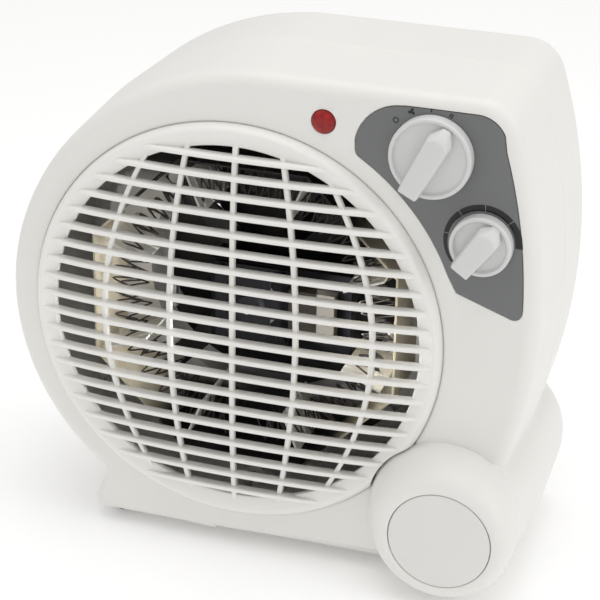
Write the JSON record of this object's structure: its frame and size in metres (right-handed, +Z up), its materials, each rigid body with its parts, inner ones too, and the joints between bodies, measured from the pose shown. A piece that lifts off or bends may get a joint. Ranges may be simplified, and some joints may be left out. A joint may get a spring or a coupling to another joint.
{
  "type": "upright fan heater",
  "caption": "Upright fan heater with a rounded housing, a domed round slatted outlet, a mode knob, a thermostat knob, a signal lamp and a rolled corner foot.",
  "frame": {"origin": "middle of the bounding box's base, on the table the feet stand on", "axes": "+X to the right seen from the front, +Y from the front to the back, +Z up; the outlet faces -Y"},
  "size_m": [0.2458, 0.121, 0.2329],
  "materials": {
    "ivory_plastic": "fine satin, moulded",
    "grille_plastic": "satin, moulded",
    "grey_plastic": "fine matt",
    "knob_plastic": "satin",
    "red_lens": "clear red, smooth",
    "lamp_glass": "clear",
    "black_plastic": "satin",
    "zinc_steel": "zinc plated",
    "brass": "plain",
    "steatite": "matt, unglazed",
    "rotor_aluminium": "cast",
    "core_steel": "stacked laminations, dark oxide",
    "dark_steel": "blackened",
    "coil_wrap": "wrapped insulation tape",
    "mica": "pressed mica sheet",
    "heating_wire": "oxidised resistance wire",
    "block_plastic": "satin",
    "lead_insulation": "heat-proof sleeving",
    "gland_rubber": "matt",
    "foot_rubber": "matt"
  },
  "bodies": {
    "housing": {"front_shell": "ivory_plastic", "rear_shell": "ivory_plastic", "outlet_grille": "grille_plastic", "foot_nose": "ivory_plastic", "foot_cap": "ivory_plastic", "control_plate": "grey_plastic", "lamp_lens": "red_lens", "lamp_holder": "black_plastic", "neon_lamp": "lamp_glass", "mode_switch_body": "black_plastic", "mode_switch_nut": "zinc_steel", "thermostat_body": "steatite", "thermostat_nut": "zinc_steel", "thermostat_contacts": "brass", "motor_stator": "core_steel", "motor_coil": "coil_wrap", "motor_front_bracket": "dark_steel", "motor_rear_bracket": "dark_steel", "motor_bushes": "dark_steel", "motor_screws": "dark_steel", "motor_bridge": "black_plastic", "fan_duct": "ivory_plastic", "duct_screws": "zinc_steel", "mica_tube": "mica", "mica_combs": "mica", "heating_wire_low": "heating_wire", "heating_wire_high": "heating_wire", "element_lugs": "zinc_steel", "thermal_cutout": "black_plastic", "thermal_fuse": "rotor_aluminium", "terminal_block": "block_plastic", "wiring": "lead_insulation", "cord_gland": "gland_rubber", "case_screws": "zinc_steel", "rubber_feet": "foot_rubber"},
    "mode_control": {"mode_knob": "knob_plastic", "mode_spindle": "zinc_steel"},
    "thermostat_control": {"thermostat_knob": "knob_plastic", "thermostat_spindle": "brass"},
    "fan": {"fan_impeller": "black_plastic", "fan_clip": "zinc_steel", "motor_shaft": "zinc_steel", "motor_rotor": "rotor_aluminium"}
  },
  "joints": [
    {"name": "mode_knob_turn", "type": "hinge", "parent": "housing", "child": "mode_control", "pos_m": [0.07255, -0.0375, 0.2055], "axis": [0, 1, 0], "range_deg": [-78, 0]},
    {"name": "thermostat_knob_turn", "type": "hinge", "parent": "housing", "child": "thermostat_control", "pos_m": [0.09555, -0.0375, 0.1698], "axis": [0, 1, 0], "range_deg": [-166, 57]},
    {"name": "fan_spin", "type": "hinge", "parent": "housing", "child": "fan", "pos_m": [-0.01325, 0.0225, 0.1136], "axis": [0, 1, 0], "continuous": true}
  ]
}
